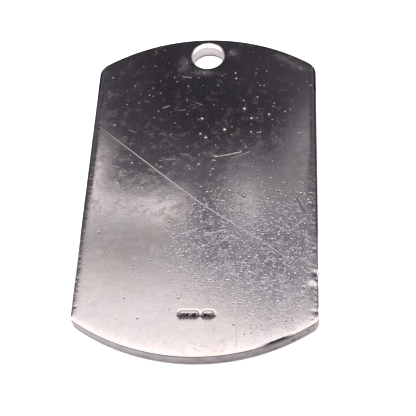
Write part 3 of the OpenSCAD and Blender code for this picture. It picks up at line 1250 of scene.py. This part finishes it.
@dataclass(frozen=True)
class WornPolish(Finish):
    """The front face: polished silver under fine pits, hairlines and a faint warm stain.

    Hair rows are cell, turn, share that is always there, share that comes with the grit, and depth. Fleck
    rows are cell, turn and share, grain rows cell, detail and depth, and cloud rows size, low and high.
    """

    gloss: float = 0.05
    blur: float = 0.075
    film: Colour = (0.66, 0.61, 0.64, 1.0)
    speck: Colour = (0.42, 0.385, 0.405, 1.0)
    # The dark colour of the oxide map: oxide and dirt, and painted shade in the pits and along the rim.
    dirt_and_shade: Colour = (0.014, 0.011, 0.012, 1.0)
    hairs: tuple[tuple[Pair, float, float, float, float], ...] = (
        ((2.6, 0.15), 0.42, 0.006, 0.12, 0.010), ((1.9, 0.13), -0.75, 0.005, 0.12, 0.010),
        ((1.3, 0.12), 1.35, 0.003, 0.10, 0.010), ((3.4, 0.10), 0.03, 0.08, 0.03, 0.0010))
    flecks: tuple[tuple[Pair, float, float], ...] = (
        ((0.62, 0.19), 0.30, 0.22), ((0.50, 0.17), -0.55, 0.20), ((0.27, 0.24), 2.1, 0.18),
        ((1.3, 0.26), 0.1, 0.08))
    grains: tuple[tuple[Triple, float, float], ...] = (
        ((0.55, 0.30, 1.0), 4.0, 0.0012), ((4.5, 3.5, 1.0), 2.0, 0.005), ((0.17, 0.15, 1.0), 1.0, 0.0007))
    clouds: tuple[Triple, ...] = ((7.0, 0.30, 0.62), (1.1, 0.40, 0.75), (1.0, 0.46, 0.78))
    crowd: Triple = (2.2, 0.40, 0.62)
    groove_blur: float = 0.2
    fleck_blur: float = 0.5
    smear_blur: float = 0.12
    oxide_blur: float = 0.3
    dot_size: Pair = (0.07, 0.2)
    hair_size: Pair = (0.16, 0.44)
    fleck_size: Pair = (0.14, 0.42)

    def _relief(self, t: MetalTree, grit: Socket) -> tuple[Socket, Socket]:
        """Builds the face's fine relief.

        Args:
            t: The material's tree.
            grit: The grit map.

        Returns:
            The height of everything, and that of the flecks alone.
        """
        fine = t.specks((0.26, 0.26), 0.0, t.math("MULTIPLY_ADD", grit, 0.5, -0.01), self.fleck_size)
        dots = t.specks((0.62, 0.62), 0.5, t.math("MULTIPLY_ADD", grit, 0.5, 0.01), self.dot_size)
        height = t.math("MULTIPLY_ADD", fine, 0.05, t.math("MULTIPLY", dots, 0.12))
        bend = t.add("ShaderNodeTexNoise", {"Vector": t.place, "Scale": 0.18, "Detail": 1.0}).outputs
        bent = t.vector("ADD", t.place, t.scaled(bend["Color"], 1.6))
        for cell, turn, always, more, deep in self.hairs:
            hair = t.specks(cell, turn, t.math("MULTIPLY_ADD", grit, more, always), self.hair_size, bent)
            height = t.math("MULTIPLY_ADD", hair, deep, height)
        strewn = t.math("MULTIPLY", grit, t.math("MULTIPLY_ADD", t.cloud(*self.crowd), 0.8, 0.10))
        flecks = 0.0
        for cell, turn, most in self.flecks:
            fleck = t.specks(cell, turn, t.math("MULTIPLY_ADD", strewn, most, 0.003), self.fleck_size, bent)
            flecks = t.math("ADD", fleck, flecks)
        height = t.math("MULTIPLY_ADD", flecks, 0.04, height)
        for cell, detail, deep in self.grains:
            height = t.math("MULTIPLY_ADD", t.grain(cell, detail), deep, height)
        return height, flecks

    def build(self) -> Material:
        """Returns the material."""
        t = MetalTree(self.name, self.effects)
        haze, grit, groove, oxide = (t.map(m) for m in (Map.HAZE, Map.GRIT, Map.GROOVE, Map.OXIDE_AND_SHADE))
        height, flecks = self._relief(t, grit)
        stain, film, smear = (t.cloud(*row) for row in self.clouds)
        worn = t.math("MULTIPLY", haze, t.math("MULTIPLY_ADD", film, 0.8, 0.7))
        rough = t.math("MULTIPLY_ADD", worn, self.blur, self.gloss)
        rough = t.math("MULTIPLY_ADD", groove, self.groove_blur, rough)
        rough = t.math("ADD", rough, t.ramp(flecks, -0.03, -0.2, 0.0, self.fleck_blur))
        rough = t.math("MULTIPLY_ADD", smear, self.smear_blur, rough)
        rough = t.math("MULTIPLY_ADD", oxide, self.oxide_blur, rough)
        stained = t.math("MULTIPLY", stain, t.math("SUBTRACT", 1.0, grit))
        colour = t.mix(stained, self.metal, self.stain)
        colour = t.mix(t.math("MULTIPLY", film, 0.4), colour, self.film)
        dust = t.ramp(t.grain((0.2, 0.16, 1.0), 2.0), -0.02, 0.25)
        dusty = t.math("MULTIPLY", dust, t.math("MULTIPLY_ADD", grit, 0.45, 0.25))
        colour = t.mix(dusty, colour, self.speck)
        t.shader.inputs["Specular IOR Level"].default_value = 0.0
        # The oxide map turns the face dark and dull: oxide and dirt, and painted shade in pits and along the
        # rim.
        t.feed(t.shader.inputs["Metallic"], t.ramp(oxide, 0.6, 0.95, 1.0, 0.0))
        return t.finish(t.mix(t.ramp(oxide, 0.0, 0.65), colour, self.dirt_and_shade), rough, height)


@dataclass(frozen=True)
class DullEdge(Finish):
    """The outer wall: filed silver gone grey, streaked along its length, brighter where it is rubbed.

    It is cleaner towards the left and, by painted shade, darker towards the floor. Spots on the front wall
    are rows of x, z and radius, flattened by tall.
    """

    rubbed: Colour = (0.28, 0.255, 0.275, 1.0)
    clean: Colour = (0.190, 0.170, 0.177, 1.0)
    # The dark of the spots and the oxide map, and of the painted shade towards the floor.
    dirt_and_shade: Colour = (0.024, 0.018, 0.018, 1.0)
    clean_from: Pair = (2.0, -9.0)
    floor_shade_from: Pair = (1.5, 0.4)
    tall: float = 0.6
    spots: tuple[Triple, ...] = ((9.2, 0.40, 0.36), (11.1, 0.85, 0.32), (12.8, 1.3, 0.20))

    def build(self) -> Material:
        """Returns the material."""
        t = MetalTree(self.name, self.effects)
        streak, lump = t.grain((1.6, 1.6, 0.12), 3.0), t.grain((0.5, 0.5, 0.4), 4.0)
        stain = t.cloud(1.4, 0.35, 0.7)
        x, y, z = t.split(t.place)
        colour = t.mix(stain, self.metal, self.stain)
        colour = t.mix(t.ramp(x, *self.clean_from), colour, self.clean)
        # Painted shade: the wall darkens towards the floor that it stands on.
        colour = t.mix(t.ramp(z, *self.floor_shade_from, 0.0, 0.22), colour, self.dirt_and_shade)
        front = t.math("LESS_THAN", y, 0.0)
        flat = t.join(x, 0.0, t.math("MULTIPLY", z, self.tall))
        for spot_x, spot_z, reach in self.spots:
            away = t.vector("DISTANCE", flat, (spot_x, 0.0, self.tall * spot_z))
            spot = t.math("MULTIPLY", front, t.ramp(away, reach, 0.5 * reach))
            colour = t.mix(spot, colour, self.dirt_and_shade)
        colour = t.mix(t.math("MULTIPLY", t.map(Map.RIM), 0.5), colour, self.rubbed)
        # The oxide map darkens the wall's top: the dark line at the marked end and the rim's painted shade.
        colour = t.mix(t.map(Map.OXIDE_AND_SHADE), colour, self.dirt_and_shade)
        rough = t.math("MULTIPLY_ADD", stain, 0.14, 0.34)
        return t.finish(colour, rough, t.math("MULTIPLY_ADD", lump, 0.03, t.math("MULTIPLY", streak, 0.03)))


@dataclass(frozen=True)
class RubbedBore(Finish):
    """The hole's wall, grey below and kept bright at its upper rim by the ring that hung in it."""

    rubbed_from: float = 1.75
    line_at: float = 1.64
    line: Colour = (0.30, 0.255, 0.215, 1.0)
    # Colour and heights of the painted shade at the hole's foot.
    foot_shade: Colour = (0.06, 0.052, 0.055, 1.0)
    foot_shade_from: Pair = (0.35, 0.15)

    def build(self) -> Material:
        """Returns the material."""
        t = MetalTree(self.name, self.effects)
        depth = t.split(t.place)[2]
        below = t.ramp(depth, self.rubbed_from, self.rubbed_from - 0.1)
        stain = t.math("MAXIMUM", t.cloud(0.8, 0.4, 0.75), below)
        off = t.math("ABSOLUTE", t.math("SUBTRACT", depth, self.line_at))
        colour = t.mix(stain, self.metal, self.stain)
        colour = t.mix(t.ramp(off, 0.12, 0.05), colour, self.line)
        # Painted shade: the hole's wall darkens at its foot, where it meets the floor.
        colour = t.mix(t.ramp(depth, *self.foot_shade_from, 0.0, 0.8), colour, self.foot_shade)
        rough = t.math("MULTIPLY_ADD", stain, 0.15, 0.15)
        return t.finish(colour, rough, t.math("MULTIPLY", t.grain((0.22, 0.22, 1.3), 3.0), 0.02))


@dataclass(frozen=True)
class OxidisedFloor(Finish):
    """The floor of the punch marks, dark with oxide between brighter high spots."""

    lit: Colour = (0.48, 0.44, 0.46, 1.0)
    lit_from: Pair = (2.30, 2.345)

    def build(self) -> Material:
        """Returns the material."""
        t = MetalTree(self.name, self.effects)
        oxide = t.cloud(0.24, 0.42, 0.52)
        high = t.ramp(t.split(t.place)[2], *self.lit_from)
        colour = t.mix(oxide, self.metal, self.stain)
        colour = t.mix(t.math("MULTIPLY", high, t.math("MULTIPLY_ADD", oxide, -0.6, 1.0)), colour, self.lit)
        rough = t.math("MULTIPLY_ADD", oxide, 0.15, 0.3)
        return t.finish(colour, rough, t.math("MULTIPLY", t.grain((0.16, 0.16, 0.3), 3.0), 0.05))


@dataclass(frozen=True)
class PlainBack(Finish):
    """The back: satin silver with scattered scratches, rows of cell and turn, and faint stains."""

    hairs: tuple[tuple[Pair, float], ...] = (((3.0, 0.14), 0.5), ((2.2, 0.12), -0.6), ((4.0, 0.12), 1.5))

    def build(self) -> Material:
        """Returns the material."""
        t = MetalTree(self.name, self.effects)
        height = t.math("MULTIPLY", t.grain((0.6, 0.4, 1.0), 4.0), 0.008)
        for cell, turn in self.hairs:
            height = t.math("MULTIPLY_ADD", t.specks(cell, turn, 0.3, (0.14, 0.4)), 0.09, height)
        stain = t.cloud(5.0, 0.4, 0.75)
        rough = t.math("MULTIPLY_ADD", stain, 0.1, 0.22)
        return t.finish(t.mix(stain, self.metal, self.stain), rough, height)


@dataclass(frozen=True)
class Studio:
    """The pale floor, and the soft overhead light that the plate lies under and mirrors.

    A sky curve is read at the slope Y over Z of a direction: 0 is straight up, and the photographed face
    mirrors 0.46 at its marked end to 0.88 at its hole. A lamp is a soft spot in that sky, a row of its
    slopes X and Y over Z, its two half widths, and what it adds.
    """

    left_sky: Stops = (
        (-2.5, 1.15), (0.3, 1.4), (0.47, 1.35), (0.486, 1.15), (0.504, 1.02), (0.540, 0.96), (0.576, 0.60),
        (0.600, 0.42), (0.632, 0.360), (0.650, 0.58), (0.671, 0.67), (0.6755, 0.42), (0.680, 0.13),
        (0.688, 0.093), (0.705, 0.087), (0.722, 0.082), (0.735, 0.075), (0.76, 0.054), (1.0, 0.045))
    right_sky: Stops = (
        (-2.5, 1.15), (0.3, 1.4), (0.47, 1.35), (0.486, 1.18), (0.504, 1.08), (0.523, 0.80), (0.545, 0.42),
        (0.60, 0.262), (0.64, 0.20), (0.675, 0.160), (0.704, 0.155), (0.722, 0.12), (0.74, 0.068),
        (0.76, 0.038), (0.82, 0.030), (1.0, 0.045))
    side_sky: Stops = ((0.47, 1.15), (0.51, 0.95), (0.54, 0.60), (0.59, 0.30), (0.66, 0.13), (1.0, 0.08))
    lean: float = 0.35
    lean_from: float = 0.65
    seam: Pair = (-0.130, -0.090)
    side_left: Pair = (-0.28, -0.42)
    side_right: Pair = (0.06, 0.14)
    lamps: tuple[tuple[float, float, float, float, float], ...] = (
        (-0.146, 0.655, 0.024, 0.016, 0.50), (-0.195, 0.655, 0.024, 0.015, 0.28),
        (-0.056, 0.660, 0.017, 0.028, 1.15), (-0.003, 0.660, 0.014, 0.022, 0.30),
        (-0.236, 0.705, 0.018, 0.042, 0.95), (-0.212, 0.738, 0.018, 0.018, 0.10),
        (0.014, 0.726, 0.022, 0.055, 0.26), (-0.088, 0.622, 0.022, 0.070, -0.22),
        (-0.019, 0.575, 0.016, 0.065, -0.22), (0.030, 0.765, 0.018, 0.030, 0.12),
        (0.040, 0.800, 0.030, 0.100, 0.05), (-0.010, 0.850, 0.060, 0.040, 0.025),
        (-0.250, 0.800, 0.025, 0.080, 0.04), (-0.225, 0.575, 0.020, 0.035, 0.14),
        (-0.012, 0.530, 0.018, 0.022, -0.15), (-0.030, 0.616, 0.050, 0.015, -0.045))
    open_front: Pair = (0.1, -0.2)
    room_level: float = 0.38
    room: Pair = (0.67, 0.52)
    horizon_level: float = 0.4
    horizon: Pair = (0.03, 0.12)
    dark_tint: Colour = (1.0, 0.955, 1.17, 1.0)
    light_tint: Colour = (1.0, 0.975, 0.97, 1.0)
    tint_levels: Pair = (0.06, 0.50)
    floor_half: float = 2.0
    floor_gap: float = 2e-5
    floor_colour: Colour = (0.92, 0.92, 0.92, 1.0)
    floor_rough: float = 0.9
    lamp_size: float = 0.8
    lamp_height: float = 0.9
    lamp_power: float = 17.0

    def _world(self) -> None:
        """Builds the sky that the plate mirrors: bright overhead, dark lower down, pale at the floor."""
        world = bpy.data.worlds.new("studio")
        bpy.context.scene.world = world
        world.use_nodes = True
        t = NodeTree(world.node_tree)
        _, _, height = way = t.split(t.add("ShaderNodeTexCoord").outputs["Generated"])
        up = t.math("MAXIMUM", height, 0.05)
        across, along = (t.math("DIVIDE", part, up) for part in way[:2])
        lean = t.math("MULTIPLY_ADD", t.math("SUBTRACT", along, self.lean_from), self.lean, across)
        left, right = t.curve(along, self.left_sky), t.curve(along, self.right_sky)
        level = t.between(t.ramp(lean, *self.seam), left, right)
        for x, y, wide, deep, more in self.lamps:
            away = t.math("ADD", *(
                t.math("POWER", t.math("DIVIDE", t.math("SUBTRACT", slope, at), reach), 2.0)
                for slope, at, reach in ((across, x, wide), (along, y, deep))))
            level = t.math("MULTIPLY_ADD", t.math("EXPONENT", t.math("MULTIPLY", away, -1.0)), more, level)
        open_front = t.ramp(along, *self.open_front)
        beside = t.curve(along, self.side_sky)
        for side in (self.side_left, self.side_right):
            inside = t.math("MAXIMUM", t.ramp(across, *side, 1.0, 0.0), open_front)
            level = t.between(inside, beside, level)
        room = t.math("MULTIPLY", t.ramp(height, *self.room), t.math("SUBTRACT", 1.0, open_front))
        level = t.between(room, level, self.room_level)
        level = t.between(t.ramp(height, *self.horizon, 1.0, 0.0), level, self.horizon_level)
        level = t.math("MAXIMUM", level, t.add("ShaderNodeLightPath").outputs["Is Camera Ray"])
        background = world.node_tree.nodes["Background"]
        tint = t.mix(t.ramp(level, *self.tint_levels), self.dark_tint, self.light_tint)
        t.feed(background.inputs["Color"], tint)
        t.feed(background.inputs["Strength"], level)

    def _floor(self) -> None:
        """Lays the plain pale floor just under the plate."""
        h, z = self.floor_half, -self.floor_gap
        mesh = bpy.data.meshes.new("floor")
        mesh.from_pydata([(-h, -h, z), (h, -h, z), (h, h, z), (-h, h, z)], [], [(0, 1, 2, 3)])
        pale = bpy.data.materials.new("pale_floor")
        pale.use_nodes = True
        shader = pale.node_tree.nodes["Principled BSDF"]
        for label, value in (("Base Color", self.floor_colour), ("Roughness", self.floor_rough),
                             ("Specular IOR Level", 0.0)):
            shader.inputs[label].default_value = value
        mesh.materials.append(pale)
        linked("floor", mesh)

    def _lamp(self) -> None:
        """Hangs the wide lamp that lights the floor. The plate's gloss doesn't mirror it."""
        data = bpy.data.lights.new("floor_lamp", "AREA")
        data.shape = "SQUARE"
        data.size = self.lamp_size
        data.energy = self.lamp_power
        lamp = bpy.data.objects.new("floor_lamp", data)
        lamp.location = (0.0, 0.0, self.lamp_height)
        lamp.visible_glossy = False
        bpy.context.scene.collection.objects.link(lamp)

    def build(self) -> None:
        """Makes the world, the floor and the lamp."""
        self._world()
        self._floor()
        self._lamp()
        bpy.context.scene.view_settings.view_transform = "Standard"


def make_finishes() -> dict[Zone, Material]:
    """Returns the material of each zone of the plate."""
    effects = Effects()
    rows = (
        (Zone.FACE, WornPolish, "silver_face", (0.81, 0.755, 0.795, 1.0), (0.82, 0.745, 0.725, 1.0)),
        (Zone.WALL, DullEdge, "silver_wall", (0.168, 0.143, 0.155, 1.0), (0.094, 0.080, 0.086, 1.0)),
        (Zone.BORE, RubbedBore, "silver_bore", (0.90, 0.88, 0.90, 1.0), (0.36, 0.325, 0.34, 1.0)),
        (Zone.MARK, OxidisedFloor, "oxidised_mark", (0.42, 0.36, 0.40, 1.0), (0.020, 0.014, 0.020, 1.0)),
        (Zone.BACK, PlainBack, "silver_back", (0.74, 0.70, 0.71, 1.0), (0.52, 0.47, 0.46, 1.0)))
    return {zone: finish(effects, name, metal, stain).build() for zone, finish, name, metal, stain in rows}


def make_plate(finishes: dict[Zone, Material]) -> Piece:
    """Builds the plate from the frame's sizes and its own worn places.

    Args:
        finishes: The material of each zone.

    Returns:
        The plate's object.
    """
    low, high = (Vector(c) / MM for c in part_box(NODE))
    half_w = (high.x - low.x) / 2.0
    length = round(high.y - low.y, 1)
    top = high.z - low.z
    ring_mount = next(m for m in frame["record"]["mounts"] if m["name"] == "ring_hole")
    knocks = tuple(Knock(s * (half_w + r - bite), y, top, r) for s, y, r, bite in (
        (1, -12.47, 0.70, 0.21), (1, -13.85, 0.70, 0.12), (1, -17.20, 0.63, 0.17), (1, -18.54, 0.70, 0.26),
        (-1, -16.84, 0.35, 0.14), (-1, -17.53, 0.35, 0.10)))
    plate = SilverPlate(
        outline=Outline(half_w, length / 2.0),
        hole=RingHole(ring_mount["pos_m"][1] / MM, ring_mount["dims"]["r_mm"]),
        marks=(PunchMark(-0.555, -17.95, 2.45, 1.15, cut=0.3, spread=-0.07, shift=-0.09),
               PunchMark(1.63, -17.95, 1.62, 1.2, spread=-0.12, shift=-0.04)),
        dents=(SoftDent(-11.0, 6.0, 3.0, 5.0, 0.01), SoftDent(13.6, -12.50, 0.30, 0.28, -0.035, 1.2),
               SoftDent(13.3, -14.15, 0.50, 0.40, -0.036, 4.0), SoftDent(13.5, -17.45, 0.28, 0.24, -0.03),
               SoftDent(13.2, -18.30, 0.13, 0.13, -0.015), SoftDent(11.1, -20.3, 0.18, 0.14, -0.02)),
        scratches=(
            Scratch(((-13.2, 8.5, 0.5), (-6.3, 2.5, 1.0), (0.1, -3.0, 1.0), (2.7, -5.0, 0.7),
                     (6.4, -7.5, 0.35), (10.5, -10.7, 0.4))),
            Scratch(((2.2, 3.9, 0.8), (4.6, 4.5, 1.0))),
            Scratch(((3.7, 3.6, 0.4), (5.7, 4.5, 0.5)), half_w=0.05),
            Scratch(((11.5, -2.2, 0.8), (12.5, -4.3, 1.0)), half_w=0.08, depth=0.01, dirty=0.5),
            Scratch(((-3.1, 16.6, 0.5), (-2.0, 16.4, 0.6))),
            Scratch(((-5.3, 11.5, 0.7), (-4.6, 11.8, 0.6))),
            Scratch(((-3.3, 11.1, 0.35), (-2.7, 11.1, 0.35))),
            Scratch(((-1.7, 11.3, 0.2), (-1.2, 11.6, 0.3)), half_w=0.05),
            Scratch(((-3.0, -8.0, 0.6), (-1.5, -7.2, 1.0), (0.6, -6.3, 0.3)), half_w=0.05, depth=0.007),
            Scratch(((0.9, -7.4, 0.7), (3.0, -6.8, 1.0)), half_w=0.05, depth=0.008),
            Scratch(((2.9, -8.2, 1.0), (4.1, -7.4, 1.0), (4.4, -8.0, 0.7)), half_w=0.05),
            Scratch(((0.0, -9.3, 1.0), (0.8, -9.2, 0.8)), half_w=0.05),
            Scratch(((11.2, -6.4, 0.6), (12.6, -5.1, 0.8)), half_w=0.05),
            Scratch(((-12.1, 2.7, 0.2), (-10.2, 2.3, 0.35)), half_w=0.05),
            Scratch(((-9.7, 1.2, 0.5), (-8.9, -1.5, 0.4)), half_w=0.04),
            Scratch(((-2.8, 4.3, 0.15), (-1.9, 4.2, 0.25), (-1.3, 3.7, 0.15)), half_w=0.05),
            Scratch(((-5.1, 3.3, 0.15), (-4.1, 3.4, 0.25), (-3.3, 3.4, 0.15)), half_w=0.05),
            Scratch(((4.7, -16.1, 0.8), (4.8, -19.0, 1.0), (4.9, -22.0, 0.8)), half_w=0.035, depth=0.006),
        ),
        knocks=knocks,
        thickness=top,
    )
    large = ((5.0, 11.2, 0.23), (-0.3, 9.7, 0.20), (2.6, 7.9, 0.22), (8.1, 10.3, 0.17), (0.3, 6.7, 0.20),
             (5.9, 9.7, 0.17), (-0.4, 7.3, 0.14), (3.8, 16.2, 0.15), (3.7, 17.1, 0.14))
    middling = ((6.6, 13.1), (5.9, 7.6), (-11.3, 8.8), (-0.4, 2.7), (-8.6, 2.9), (0.8, -1.4), (3.5, -1.2),
                (8.1, -2.4), (2.1, -2.6), (9.4, -16.2), (-10.1, -0.1), (7.6, -13.7), (-11.8, -7.1),
                (-5.4, -10.9), (-7.3, -12.0), (-8.0, -15.8), (-6.3, -18.4))
    small = ((-5.9, 11.0), (8.6, 11.6), (8.7, 12.1), (4.9, 12.6), (3.5, 8.4), (3.5, 7.2), (6.7, 7.5),
             (-4.1, 7.3), (-0.4, 4.1), (-5.6, 2.7), (-5.0, 2.4), (1.1, 1.1),
             (0.0, -0.6), (5.3, 5.3), (6.2, 2.3), (-9.9, 1.6), (-7.1, -0.6), (-10.0, 12.1), (-9.2, 15.1),
             (-5.8, 13.9), (-4.2, 16.5), (1.5, 15.1), (2.0, 16.7), (10.7, 11.1), (7.7, 17.4), (6.5, -20.2),
             (1.0, -15.1), (-6.3, -12.5), (-2.8, -17.3))
    known = large + tuple((*at, 0.13) for at in middling) + tuple((*at, 0.09) for at in small)
    return plate.build(PitField(known), EdgeNicks(), finishes)


def main() -> None:
    """Builds the plate, the camera and the studio in order."""
    logging.basicConfig(level=logging.INFO, format="%(name)s: %(message)s")
    skin = make_plate(make_finishes())
    LOG.info("%s: %d points, %d faces", skin.name, len(skin.data.vertices), len(skin.data.polygons))
    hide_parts(NODE)
    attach(skin, "root")
    Camera().build()
    Studio().build()


if __name__ == "__main__":
    main()
